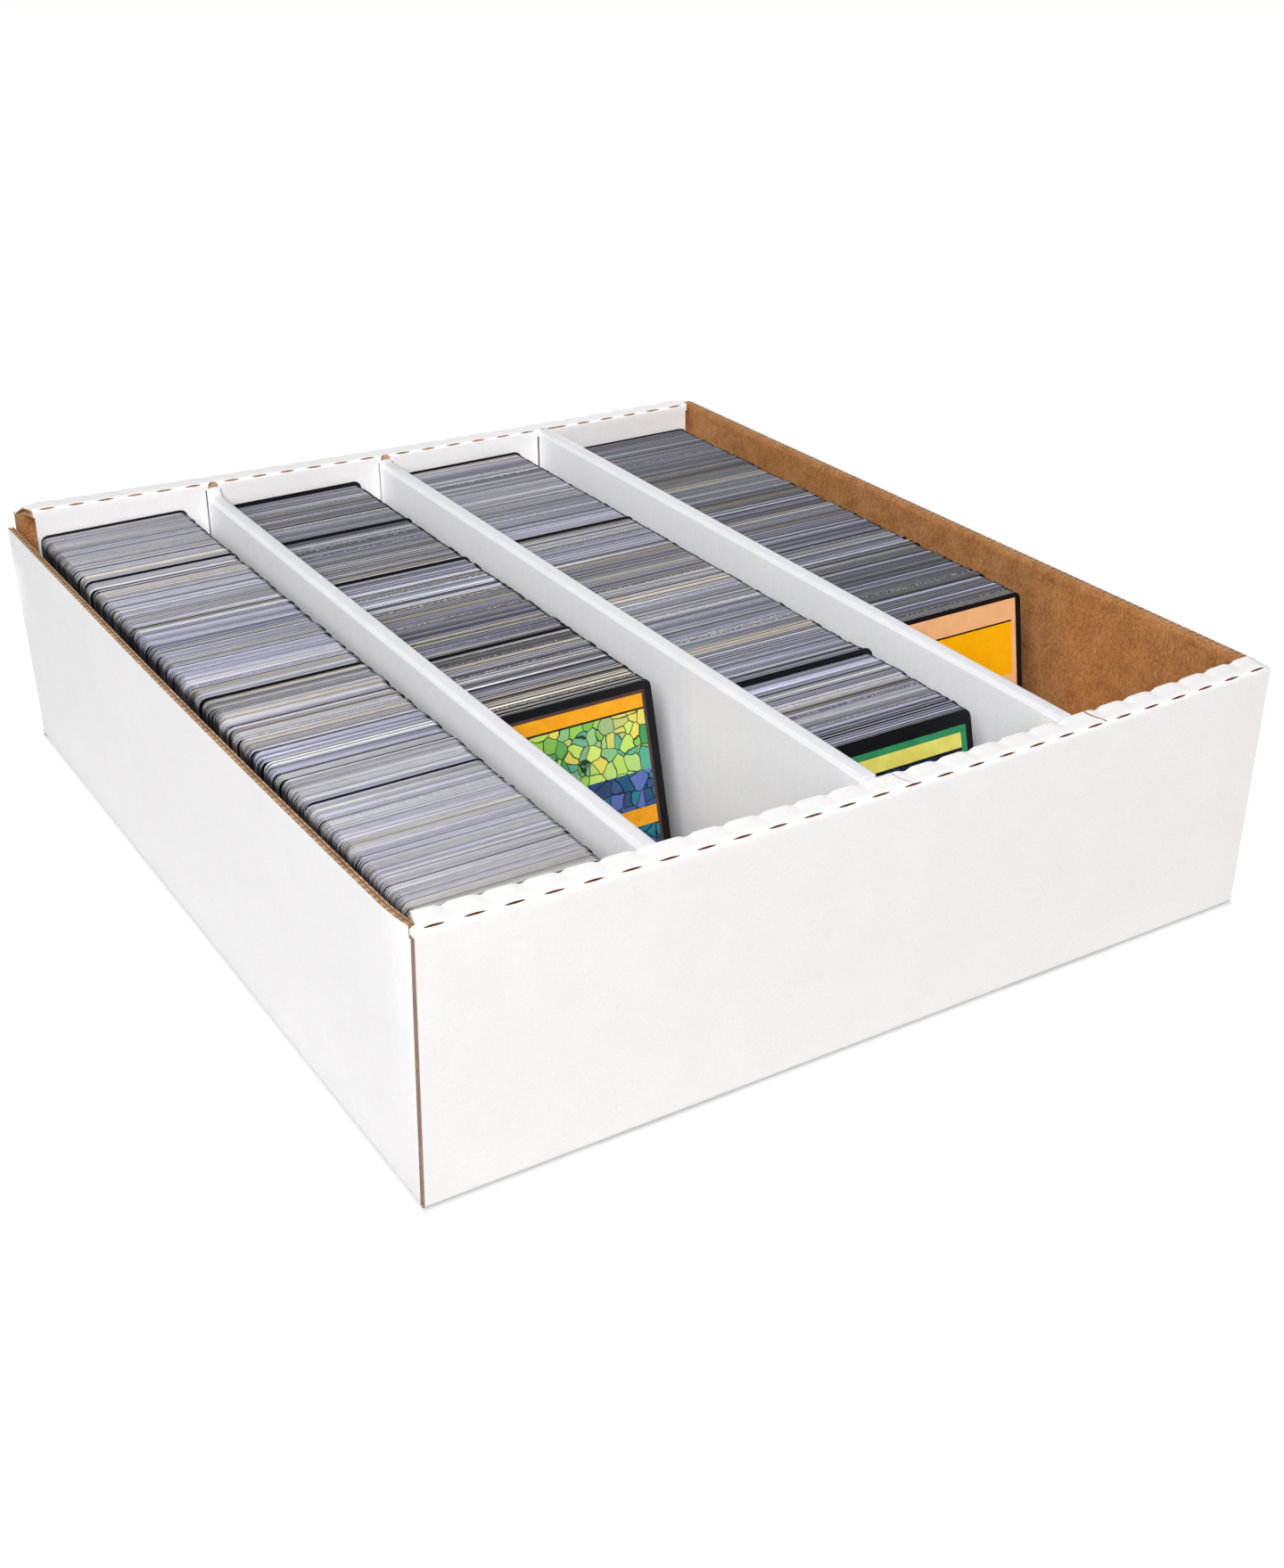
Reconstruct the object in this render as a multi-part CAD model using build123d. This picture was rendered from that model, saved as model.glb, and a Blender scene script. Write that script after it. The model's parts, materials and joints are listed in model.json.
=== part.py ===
"""Open four-row card storage box: a white corrugated tray with rolled end walls,
three folded row dividers and the leaning rows of cards that it holds.

Frame: origin at the middle of the box's underside, X to the right along the front wall,
Y from the front wall to the back wall, Z up. All lengths are in millimetres.
"""
from build123d import *
import math
import os

# Outer length and height of the tray
box_length = 374.0
box_height = 96.5
side_wall_drop = 0.4

# Corrugated board and its folds
board = 3.2
crease_radius = 1.4
fit_gap = 0.3

# Perforated creases along the top strips
perforation_pitch = 12.7
perforation_length = 6.35
perforation_width = 1.0
perforation_margin = 3.0

# Inner flaps, their lock tabs and the corner flaps
flap_side_gap = 3.4
lock_slot_width = 50.0
lock_slot_rise = 1.0
corner_flap_length = 68.0
corner_flap_drop = 2.0

# Row dividers, each a sheet folded double
leaf_gap = 0.2
divider_round_share = 0.3

# Cards, and the room that a row leaves beside them
card_width = 63.0
card_height = 88.0
card_thickness = 0.31
card_corner = 3.0
row_play = 11.2
outer_row_extra = 4.0

# Rows, from left to right: lean back from upright, free floor in front of the cards and
# behind them, the cards' place between the row's sides, and the parts that each row falls into
row_lean_degrees = (3.5, 14.0, 14.0, 9.0)
row_front_shares = (0.002, 0.248, 0.027, 0.240)
row_back_shares = (0.0, 0.0, 0.0, 0.042)
row_left_shares = (0.34, 0.06, 0.05, 0.08)
row_part_shares = (
    (0.214, 0.256, 0.360, 0.170),
    (0.220, 0.345, 0.217, 0.218),
    (0.168, 0.293, 0.226, 0.313),
    (0.223, 0.334, 0.239, 0.204),
)
rows_with_front_card = (1, 2, 3)

# Worked-out sizes and places
row_count = len(row_lean_degrees)
divider_thickness = 2 * board + leaf_gap
row_pitch = card_width + row_play + divider_thickness
box_width = row_count * row_pitch - divider_thickness + 2 * (outer_row_extra + board)
cut_overrun = board
half_width = box_width / 2
front = -box_length / 2
end_wall = 3 * board
front_flap_face = front + end_wall
back_flap_face = -front_flap_face
inner_length = back_flap_face - front_flap_face
strip_underside = box_height - board
divider_top = strip_underside - fit_gap
row_middles = [(row - (row_count - 1) / 2) * row_pitch for row in range(row_count)]
divider_places = [middle + row_pitch / 2 for middle in row_middles[:-1]]
card_floor = board + fit_gap
divider_faces = [(x - divider_thickness / 2, x + divider_thickness / 2) for x in divider_places]
row_lefts = [board - half_width] + [right for left, right in divider_faces]
row_rights = [left for left, right in divider_faces] + [half_width - board]


def panel(x_low, x_high, y_low, y_high, z_low, z_high):
    """Flat board between two corners."""
    middle = Pos((x_low + x_high) / 2, (y_low + y_high) / 2, (z_low + z_high) / 2)
    return middle * Box(x_high - x_low, y_high - y_low, z_high - z_low)


def round_low_edge(wall, along, across):
    """Round the fold between a wall and the floor, on the wall's outer side."""
    fold = wall.edges().filter_by(along).group_by(Axis.Z)[0].sort_by(across)[0]
    return fillet(fold, crease_radius)


def lock_slots(y_low, y_high, z_low, z_high):
    """Cutters over the two lock slots at one end of the box."""
    outer_dividers = (divider_places[0], divider_places[-1])
    half_slot = lock_slot_width / 2
    sides = [(x - half_slot, x + half_slot) for x in outer_dividers]
    return [panel(left, right, y_low, y_high, z_low, z_high) for left, right in sides]


def tray_floor():
    """Floor between the four walls, with two lock slots at the front and two at the back."""
    floor = panel(board - half_width, half_width - board, front + board, -front - board, 0, board)
    slot_front = front_flap_face - board - fit_gap
    slot_back = front_flap_face + fit_gap
    front_slots = lock_slots(slot_front, slot_back, -cut_overrun, board + cut_overrun)
    back_slots = [mirror(slot, about=Plane.XZ) for slot in front_slots]
    return floor - (front_slots + back_slots)


def left_side_wall():
    """Single side wall, white outside and raw along its top edge."""
    top = box_height - side_wall_drop
    wall = panel(-half_width, board - half_width, front + board, -front - board, 0, top)
    return round_low_edge(wall, Axis.Y, Axis.X)


def front_outer_wall():
    """Outer board of the rolled front wall, notched over the lock slots."""
    wall = panel(-half_width, half_width, front, front + board, 0, strip_underside)
    wall = round_low_edge(wall, Axis.X, Axis.Y)
    cut_back = front + board + cut_overrun
    return wall - lock_slots(front - cut_overrun, cut_back, -cut_overrun, lock_slot_rise)


def perforations(y_edge, inward, x_middle, span):
    """Cutters for the dashes of one stretch of crease, whose sharp edge would lie at y_edge."""
    reach = crease_radius * (1 - math.sqrt(0.5))
    count = int((span - perforation_length) / perforation_pitch) + 1
    first = x_middle - (count - 1) / 2 * perforation_pitch
    dash = Box(perforation_length, perforation_width, perforation_width)
    place = Pos(0, y_edge + inward * reach, box_height - reach) * Rot(45, 0, 0)
    return [Pos(first + step * perforation_pitch, 0, 0) * place * dash for step in range(count)]


def front_top_strip():
    """Top of the rolled front wall, between its two perforated creases."""
    side = half_width - board - fit_gap
    inner_side = half_width - board - flap_side_gap
    right_half = [
        (half_width, front),
        (half_width, front + board),
        (side, front + board),
        (inner_side, front_flap_face),
    ]
    left_half = [(-x, y) for x, y in reversed(right_half)]
    outline = make_face(Polyline(*right_half, *left_half, close=True))
    strip = extrude(Pos(0, 0, strip_underside) * outline, amount=board)
    creases = strip.edges().filter_by(Axis.X).group_by(Axis.Z)[-1].group_by(Axis.Y)
    strip = fillet(list(creases[0]) + list(creases[-1]), crease_radius)
    notch = Cylinder(divider_thickness / 2, board + 2 * cut_overrun)
    notches = [Pos(x, front_flap_face, strip_underside + board / 2) * notch for x in divider_places]
    cuts = notches + perforations(front, 1, 0, box_width - 2 * perforation_margin)
    for middle in row_middles:
        cuts += perforations(front_flap_face, -1, middle, row_pitch - divider_thickness)
    return strip - cuts


def front_inner_flap(row):
    """Inner board of the rolled front wall in one row, with the lock tab beside an outer divider."""
    left = row_lefts[row] + (flap_side_gap if row == 0 else fit_gap)
    right = row_rights[row] - (flap_side_gap if row == row_count - 1 else fit_gap)
    low_y = front_flap_face - board
    flap = panel(left, right, low_y, front_flap_face, board, strip_underside)
    nearest = divider_places[0] if row < row_count / 2 else divider_places[-1]
    tab_left = max(left, nearest - lock_slot_width / 2 + fit_gap)
    tab_right = min(right, nearest + lock_slot_width / 2 - fit_gap)
    return flap + panel(tab_left, tab_right, low_y, front_flap_face, 0, board)


def front_left_corner_flap():
    """Flap that the left side wall sends round the corner, inside the rolled front wall."""
    left = board - half_width
    top = strip_underside - corner_flap_drop
    return panel(left, left + corner_flap_length, front + board, front + 2 * board, board, top)


def divider(place):
    """Upright sheet folded over at its top, with its ends held between the inner flaps."""
    reach = -front - board - fit_gap
    left = place - divider_thickness / 2
    body = panel(left, left + divider_thickness, -reach, reach, board, divider_top)
    fold = body.edges().filter_by(Axis.Y).group_by(Axis.Z)[-1]
    body = fillet(fold, divider_thickness * divider_round_share)
    slit_left = place - leaf_gap / 2
    slit_reach = reach + cut_overrun
    slit_top = divider_top - board
    slit = panel(slit_left, slit_left + leaf_gap, -slit_reach, slit_reach, board - cut_overrun, slit_top)
    return body - slit


def row_stack(row):
    """Places along the floor where a row's leaning cards start and end."""
    lean = math.radians(row_lean_degrees[row])
    start = front_flap_face + row_front_shares[row] * inner_length + fit_gap
    lean_room = (box_height - card_floor) * math.tan(lean)
    end = back_flap_face - row_back_shares[row] * inner_length - lean_room - fit_gap
    return start, end


def card_face(row, y):
    """Rounded outline of a card that stands on the floor at y and leans with its row."""
    lean = math.radians(row_lean_degrees[row])
    play = row_rights[row] - row_lefts[row] - card_width
    middle_x = row_lefts[row] + row_left_shares[row] * play + card_width / 2
    half = card_height / 2
    middle = (middle_x, y + half * math.sin(lean), card_floor + half * math.cos(lean))
    towards_front = (0, -math.cos(lean), math.sin(lean))
    plane = Plane(middle, x_dir=(1, 0, 0), z_dir=towards_front)
    return plane * RectangleRounded(card_width, card_height, card_corner)


def row_parts(row):
    """The row's cards in the parts that lift out of it, from front to back."""
    start, end = row_stack(row)
    lean_run = 1 / math.cos(math.radians(row_lean_degrees[row]))
    gap = fit_gap * lean_run
    if row in rows_with_front_card:
        start += gap + card_thickness * lean_run
    shares = row_part_shares[row]
    room = end - start - gap * (len(shares) - 1)
    solids = []
    for share in shares:
        length = room * share / sum(shares)
        solids.append(extrude(card_face(row, start), amount=length, dir=(0, 1, 0)))
        start += length + gap
    return solids


def front_card(row):
    """The single card at the front of a row, free to tip forward on its bottom edge."""
    start, end = row_stack(row)
    return extrude(card_face(row, start), amount=-card_thickness)


def nodes():
    """Every piece of the box under its own name."""
    pieces = {
        "tray_floor": tray_floor(),
        "left_side_wall": left_side_wall(),
        "front_outer_wall": front_outer_wall(),
        "front_top_strip": front_top_strip(),
        "front_left_corner_flap": front_left_corner_flap(),
    }
    for row in range(row_count):
        pieces[f"front_inner_flap_{row + 1}"] = front_inner_flap(row)
    mirrored = {}
    for name, solid in pieces.items():
        if "left" in name:
            mirrored[name.replace("left", "right")] = mirror(solid, about=Plane.YZ)
    pieces.update(mirrored)
    mirrored = {}
    for name, solid in pieces.items():
        if name.startswith("front"):
            mirrored[name.replace("front", "back")] = mirror(solid, about=Plane.XZ)
    pieces.update(mirrored)
    for side, place in zip(("left", "centre", "right"), divider_places):
        pieces[f"{side}_divider"] = divider(place)
    for row in range(row_count):
        for number, solid in enumerate(row_parts(row), 1):
            pieces[f"row_{row + 1}_cards_{number}"] = solid
    for row in rows_with_front_card:
        pieces[f"row_{row + 1}_front_card"] = front_card(row)
    return pieces


os.makedirs("parts", exist_ok=True)
for node_name, node_solid in nodes().items():
    export_step(node_solid, f"parts/{node_name}.step")
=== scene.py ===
# %% [markdown]
# # A card storage box, full of cards
#
# The object is an open tray folded from one sheet of white corrugated board, with three folded
# dividers and four rows of leaning cards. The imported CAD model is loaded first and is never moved.
# Each of its nodes is then dressed with a piece of the same size that has what a plain solid lacks:
# fluted raw edges, rounded folds with perforated dashes, and cards that stand one by one.

# %% Load the frame
import json
import math
import random

import bmesh
import bpy
from mathutils import Matrix, Vector


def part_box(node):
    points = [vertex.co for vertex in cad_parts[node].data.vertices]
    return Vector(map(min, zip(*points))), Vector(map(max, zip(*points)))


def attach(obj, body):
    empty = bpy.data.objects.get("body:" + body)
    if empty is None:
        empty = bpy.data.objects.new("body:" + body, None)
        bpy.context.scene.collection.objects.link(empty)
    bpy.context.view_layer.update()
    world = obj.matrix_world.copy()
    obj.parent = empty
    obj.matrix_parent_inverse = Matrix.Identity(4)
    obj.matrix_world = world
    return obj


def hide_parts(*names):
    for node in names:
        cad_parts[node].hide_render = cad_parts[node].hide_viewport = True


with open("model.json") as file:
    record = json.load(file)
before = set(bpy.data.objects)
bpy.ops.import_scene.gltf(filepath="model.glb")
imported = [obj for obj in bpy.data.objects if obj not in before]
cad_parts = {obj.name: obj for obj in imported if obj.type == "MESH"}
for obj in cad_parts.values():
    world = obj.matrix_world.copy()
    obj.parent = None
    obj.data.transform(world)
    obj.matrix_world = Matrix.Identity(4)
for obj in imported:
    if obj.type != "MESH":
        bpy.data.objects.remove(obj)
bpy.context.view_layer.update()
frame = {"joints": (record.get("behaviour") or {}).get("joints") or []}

MM = 0.001


def node_box(name):
    """Lowest and highest corner of a CAD node, in millimetres."""
    low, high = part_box(name)
    return low / MM, high / MM


wall_low, wall_high = node_box("front_outer_wall")
strip_low, strip_high = node_box("front_top_strip")
half_width = wall_high.x
front = wall_low.y
board = wall_high.y - wall_low.y
flap_face = strip_high.y
strip_underside = strip_low.z
box_height = strip_high.z
divider_sides = ("left", "centre", "right")
divider_boxes = [node_box(f"{side}_divider") for side in divider_sides]
divider_places = [(low.x + high.x) / 2 for low, high in divider_boxes]
divider_thickness = divider_boxes[0][1].x - divider_boxes[0][0].x
row_pitch = divider_places[1] - divider_places[0]
row_middles = [divider_places[0] + (row - 0.5) * row_pitch for row in range(4)]
print(f"box {2 * half_width:.1f} x {-2 * front:.1f} x {box_height:.1f} mm, board {board:.1f} mm")

# %% [markdown]
# ## Small helpers for materials
#
# Colours are written as sRGB hex values, the way a paint chart gives them, but shaders work in
# linear light, so one function converts them. Every node is added by one other function, which
# takes the node's settings and what goes into its sockets, either a value or another socket. A Mix
# node has several sockets of one name, so they go by place: 0 is the share, 6 and 7 are the colours
# and output 2 is their mix, or 2, 3 and output 0 for plain numbers. The last two functions turn a
# size in millimetres into the scale of a texture.

# %% Colour and node helpers
def ink(code):
    """Linear colour of an sRGB hex value."""
    shares = [int(code[place:place + 2], 16) / 255 for place in (1, 3, 5)]
    linear = [s / 12.92 if s <= 0.04045 else ((s + 0.055) / 1.055) ** 2.4 for s in shares]
    return (*linear, 1.0)


def wire(tree, node, inputs):
    """Fill a node's sockets, found by name or place, with values or with links from other sockets."""
    for key, value in inputs.items():
        if isinstance(value, bpy.types.NodeSocket):
            tree.links.new(value, node.inputs[key])
        else:
            node.inputs[key].default_value = value


def add(tree, kind, inputs=None, stops=None, **settings):
    """Add a shader node of a kind with its settings and inputs; stops holds a ramp's places and colours."""
    made = tree.nodes.new(f"ShaderNode{kind}")
    for name, value in settings.items():
        setattr(made, name, value)
    wire(tree, made, inputs or {})
    if stops:
        ramp = made.color_ramp.elements
        while len(ramp) < len(stops):
            ramp.new(0.5)
        for element, (place, code) in zip(ramp, stops):
            element.position = place
            element.color = ink(code)
    return made


def new_material(name):
    """An empty material with its Object coordinates and its shader, which is wired to the output."""
    material = bpy.data.materials.new(name)
    material.use_nodes = True
    tree = material.node_tree
    tree.nodes.clear()
    place = add(tree, "TexCoord").outputs["Object"]
    shader = add(tree, "BsdfPrincipled")
    add(tree, "OutputMaterial", {"Surface": shader.outputs["BSDF"]})
    return material, tree, place, shader


def per(size):
    """Texture scale at which one feature is about this many millimetres."""
    return 1 / (size * MM)


def waves_per(pitch):
    """Scale of a wave texture whose bands repeat at this pitch; the node itself multiplies by 20."""
    return math.tau / (20 * pitch * MM)


print("helpers ready")

# %% [markdown]
# ## The board's surfaces
#
# Corrugated board is two flat papers, the liners, glued to a wavy one, the medium. Outside it is a
# white-topped kraft liner with a matte coat: nearly even white, faintly cloudy, and with a ghost of
# the flutes under it, called washboarding. On round folds it is painted greyer, as shade.
# Inside it is plain brown kraft, whose long fibres lie along the machine direction. Where the board
# is cut, all papers show their pale tan core, striped where flutes end, with painted shade in a seam.

# %% White liners
flute_pitch = 6.4
washboard_height = 0.035
cloud_size = 16
speck_size = 1.1
paper_ior = 1.45


def white_liner(name, axis, dull, bright):
    """White-topped kraft liner, machine coated: matte, a little cloudy, washboarded along one axis."""
    material, tree, place, shader = new_material(name)
    cloud = add(tree, "TexNoise", {"Vector": place, "Scale": per(cloud_size), "Detail": 3.0})
    speck = add(tree, "TexNoise", {"Vector": place, "Scale": per(speck_size), "Detail": 2.0})
    clouded = add(tree, "Mix", {0: cloud.outputs["Fac"], 6: ink(dull), 7: ink(bright)}, data_type="RGBA")
    specked = add(tree, "Mix", {
        0: speck.outputs["Fac"], 6: ink("#F4F3F3"), 7: ink("#FFFFFF"),
    }, data_type="RGBA")
    colour = add(tree, "Mix", {
        0: 1.0, 6: clouded.outputs[2], 7: specked.outputs[2],
    }, data_type="RGBA", blend_type="MULTIPLY")
    flutes = add(tree, "TexWave", {
        "Vector": place, "Scale": waves_per(flute_pitch), "Distortion": 1.2, "Detail": 1.0,
    }, bands_direction=axis)
    board_bump = add(tree, "Bump", {
        "Height": flutes.outputs["Fac"], "Strength": 0.8, "Distance": washboard_height * MM,
    })
    grain = add(tree, "Bump", {
        "Height": speck.outputs["Fac"], "Strength": 0.25, "Distance": washboard_height * MM,
        "Normal": board_bump.outputs["Normal"],
    })
    wire(tree, shader, {
        "Base Color": colour.outputs[2], "Normal": grain.outputs["Normal"],
        "Roughness": 0.62, "IOR": paper_ior,
    })
    return material


# These are copies of one white liner whose brightness differs as painted light and shade: darker on the end
# walls, lighter on the side walls, and brightest on the inner flaps, which also cover the strip tops, and on
# the dividers.
end_white = white_liner("white_liner_flutes_level", "Z", "#ECE9E9", "#F3F0EF")
side_white = white_liner("white_liner_flutes_upright", "Y", "#F2F1F2", "#F9F8F8")
flap_white_painted_light = white_liner("white_liner_inner_flap", "Z", "#F6F4F4", "#FBFAF9")
# A greyer copy for the back strip's outer fold: painted shade.
crease_white_painted_shade = white_liner("white_liner_crease_painted_shade", "Z", "#DCD9D9", "#E4E1E0")
divider_white_painted_light = white_liner("white_liner_divider", "Y", "#F2F3F6", "#F9F9FC")
# A greyer copy for the dividers' tops and round folds: painted shade.
fold_white_painted_shade = white_liner("white_liner_divider_fold_painted_shade", "Y", "#E2E3E7", "#ECEDF1")
print("white liners:", end_white.name, side_white.name, divider_white_painted_light.name)

# %% Kraft papers
mottle_size = 0.9
patch_size = 9
fibre_tilt = math.radians(62)


def kraft(name, dark, pale, fleck, grain_height, fluted=0.0):
    """Unbleached kraft paper, machine made: matte brown, mottled and fibrous, striped where flutes end."""
    material, tree, place, shader = new_material(name)
    upright = add(tree, "Mapping", {"Vector": place, "Scale": (1.0, 1.0, 0.7)})
    askew = add(tree, "Mapping", {
        "Vector": place, "Rotation": (fibre_tilt, 0, 0), "Scale": (1.0, 1.0, 0.2),
    })
    mottle = add(tree, "TexNoise", {
        "Vector": upright.outputs["Vector"], "Scale": per(mottle_size), "Detail": 5.0, "Roughness": 0.75,
    })
    patch = add(tree, "TexNoise", {"Vector": place, "Scale": per(patch_size), "Detail": 2.0})
    both = add(tree, "Mix", {0: 0.25, 2: mottle.outputs["Fac"], 3: patch.outputs["Fac"]})
    base = add(tree, "ValToRGB", {"Fac": both.outputs[0]}, stops=[(0.36, dark), (0.64, pale)])
    fibre = add(tree, "TexNoise", {
        "Vector": askew.outputs["Vector"], "Scale": per(mottle_size), "Detail": 2.0,
    })
    stray = add(tree, "MapRange", {
        "Value": fibre.outputs["Fac"], "From Min": 0.64, "From Max": 0.76, "To Max": 0.6,
    })
    colour = add(tree, "Mix", {
        0: stray.outputs["Result"], 6: base.outputs["Color"], 7: ink(fleck),
    }, data_type="RGBA")
    bump = add(tree, "Bump", {
        "Height": mottle.outputs["Fac"], "Strength": 0.6, "Distance": grain_height * MM,
    })
    flutes = add(tree, "TexWave", {
        "Vector": place, "Scale": waves_per(flute_pitch / 2), "Distortion": 3.0, "Detail": 2.0,
        "Detail Scale": 3.0,
    }, bands_direction="Y")
    stripe = add(tree, "MapRange", {
        "Value": flutes.outputs["Fac"], "To Min": 1.0, "To Max": 1.0 - fluted,
    })
    striped = add(tree, "VectorMath", {
        0: colour.outputs[2], "Scale": stripe.outputs["Result"],
    }, operation="SCALE")
    wire(tree, shader, {
        "Base Color": striped.outputs[0], "Normal": bump.outputs["Normal"],
        "Roughness": 0.75, "IOR": paper_ior,
    })
    return material


brown_liner = kraft("kraft_liner_brown", "#8C5526", "#C9905A", "#DDAF78", 0.05)
raw_edge = kraft("cut_board_edge_tan", "#8C6A4C", "#CBA986", "#E0CCB2", 0.08)
fluted_edge = kraft("cut_board_edge_fluted", "#A27C5C", "#DDBD9A", "#EEDFC8", 0.08, 0.55)
# A dimmer copy of the cut edge for the seams at the corners: painted shade.
shaded_edge = kraft("kraft_edge_seam_painted_shade", "#7E6354", "#9C8070", "#B09886", 0.05)
print("kraft papers:", brown_liner.name, raw_edge.name, fluted_edge.name)

# %% Sets of board materials
# Every set holds a cut edge, a white liner, a brown liner, and a paper for folds and seams that is painted
# shade
RAW, WHITE, BROWN, FOLD = range(4)
end_set = [raw_edge, end_white, brown_liner, shaded_edge]
side_set = [fluted_edge, side_white, brown_liner, shaded_edge]
flap_set = [raw_edge, flap_white_painted_light, brown_liner, crease_white_painted_shade]
divider_set = [raw_edge, divider_white_painted_light, brown_liner, fold_white_painted_shade]
print("end walls:", [material.name for material in end_set])

# %% [markdown]
# ## Fluted board
#
# A panel could be one thick slab, but its cut edges would then be blank. Here every panel is made
# like the board itself: a thin outer liner, a wavy medium and an inner liner. Each is a flat outline
# that is extruded along its length, and loop cuts along the length let the panel bow a little later.
# A panel is built standing at the origin, white side towards -Y, and then turned into its place.

# %% Mesh helpers
paper_gap = 0.02
fold_segments = 6


def as_mesh(bm, name="shape"):
    """Close a bmesh and hand over its mesh."""
    mesh = bpy.data.meshes.new(name)
    bm.to_mesh(mesh)
    bm.free()
    return mesh


def stamp(bm, shape, matrix=Matrix.Identity(4)):
    """Add a copy of a mesh to a bmesh, moved by a matrix; returns the new vertices."""
    first = len(bm.verts)
    bm.from_mesh(shape)
    bm.verts.ensure_lookup_table()
    added = bm.verts[first:]
    bmesh.ops.transform(bm, matrix=matrix, verts=added)
    return added


def extruded(bm, vec):
    """Extrude all faces of a flat bmesh by a vector into a closed solid."""
    grown = bmesh.ops.extrude_face_region(bm, geom=bm.faces[:])["geom"]
    moved = [part for part in grown if isinstance(part, bmesh.types.BMVert)]
    bmesh.ops.translate(bm, verts=moved, vec=vec)
    bmesh.ops.recalc_face_normals(bm, faces=bm.faces)


def swept(outline, low, high, cuts=0, rounds=()):
    """A closed prism from low to high along X; outline holds (y, z) points, rounds (corner, radius)."""
    bm = bmesh.new()
    ring = [bm.verts.new((low, y, z)) for y, z in outline]
    bm.faces.new(ring)
    for corner, radius in rounds:
        bmesh.ops.bevel(
            bm, geom=[ring[corner]], offset=radius, offset_type="OFFSET", segments=fold_segments,
            profile=0.5, affect="VERTICES", material=-1,
        )
    extruded(bm, (high - low, 0, 0))
    if cuts:
        long_edges = [edge for edge in bm.edges if abs(edge.verts[0].co.x - edge.verts[1].co.x) > paper_gap]
        bmesh.ops.subdivide_edges(bm, edges=long_edges, cuts=cuts, use_grid_fill=True)
    return as_mesh(bm)


def sliced(bm, axis, places):
    """Split a bmesh at these places along an axis, so that it can bend or change its print there."""
    normal = Vector((axis == "X", axis == "Y", axis == "Z"))
    for place in places:
        everything = bm.verts[:] + bm.edges[:] + bm.faces[:]
        bmesh.ops.bisect_plane(bm, geom=everything, plane_co=place * normal, plane_no=normal)


def at(place, quarter_turns=0, tip=0.0):
    """Matrix that tips a panel about X, turns it about Z by quarter turns and moves it to its place."""
    turn = Matrix.Rotation(quarter_turns * math.pi / 2, 4, "Z") @ Matrix.Rotation(tip, 4, "X")
    return Matrix.Translation(place) @ turn


print("mesh helpers ready")

# %% Fluted panel
liner_thickness = 0.4
medium_thickness = 0.35
edge_recess = 0.25
points_per_flute = 8

# Share of a face's normal along an axis from which it counts as leaning, facing or square that way
leaning, facing, square = 0.3, 0.5, 0.9


def wave_outline(start, length):
    """Outline of the medium, seen along its flutes: (y, distance) points up one side and down the other."""
    middle = board / 2
    swing = middle - liner_thickness - paper_gap - medium_thickness / 2
    run = length - edge_recess - start
    count = max(2, round(run / flute_pitch * points_per_flute))
    steps = [start + run * step / count for step in range(count + 1)]
    crests = [(middle + swing * math.sin(math.tau * s / flute_pitch), s) for s in steps]
    under = [(y - medium_thickness / 2, s) for y, s in crests]
    over = [(y + medium_thickness / 2, s) for y, s in reversed(crests)]
    return under + over


def fluted_panel(length, height, upright, cuts=0, low_round=0.0):
    """A board of this length along X and height along Z, white towards -Y, brown behind, raw at edges."""
    bm = bmesh.new()
    half = length / 2
    outer = [(0, 0), (0, height), (liner_thickness, height), (liner_thickness, 0)]
    rounds = [(0, low_round)] if low_round else []
    if low_round:
        outer[3] = (low_round + liner_thickness, 0)
        outer.insert(3, (liner_thickness, low_round))
    stamp(bm, swept(outer, -half, half, cuts, rounds))
    outer_faces = len(bm.faces)
    inner_low = board - liner_thickness
    inner = [(inner_low, 0), (inner_low, height), (board, height), (board, 0)]
    stamp(bm, swept(inner, -half, half, cuts))
    liner_faces = len(bm.faces)
    foot = max(edge_recess, low_round)
    if upright:
        medium = swept(wave_outline(edge_recess, length), foot, height - edge_recess)
        stamp(bm, medium, Matrix.Translation((half, 0, 0)) @ Matrix.Rotation(-math.pi / 2, 4, "Y"))
    else:
        stamp(bm, swept(wave_outline(foot, height), edge_recess - half, half - edge_recess, cuts))
    bm.normal_update()
    for number, face in enumerate(bm.faces):
        if number < outer_faces and face.normal.y < -leaning:
            face.material_index = WHITE
        elif number >= liner_faces or abs(face.normal.y) > square:
            face.material_index = BROWN
    return as_mesh(bm)


print(f"flutes every {flute_pitch} mm")

# %% Finished pieces
crisp_angle = math.radians(32)


def finished(bm, name, materials, body, node, shape=None):
    """Turn a bmesh in millimetres into a piece in metres that rides on a body and stands for a node."""
    if shape:
        for vert in bm.verts:
            vert.co = shape(vert.co)
    bmesh.ops.scale(bm, vec=(MM, MM, MM), verts=bm.verts)
    for face in bm.faces:
        face.smooth = True
    mesh = as_mesh(bm, name)
    mesh.set_sharp_from_angle(angle=crisp_angle)
    for material in materials:
        mesh.materials.append(material)
    piece = bpy.data.objects.new(name, mesh)
    bpy.context.scene.collection.objects.link(piece)
    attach(piece, body)
    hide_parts(node)


def board_piece(bm, node, materials, shape=None):
    """Finish a piece of the folded box, all of which is one body."""
    finished(bm, f"board_{node}", materials, "box", node, shape)


print(f"edges over {math.degrees(crisp_angle):.0f} degrees stay crisp")

# %% [markdown]
# ## How the folded board settles
#
# A real tray is never quite square. The rolled front wall bows outwards along its top, most at the
# middle, and the rolled back wall isn't pushed fully down at its left. The left side wall spreads,
# and the right one tilts and is tucked in at the front. All are smooth functions of the place on the
# board, used alike by every piece of an end wall, so nothing comes apart.

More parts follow.
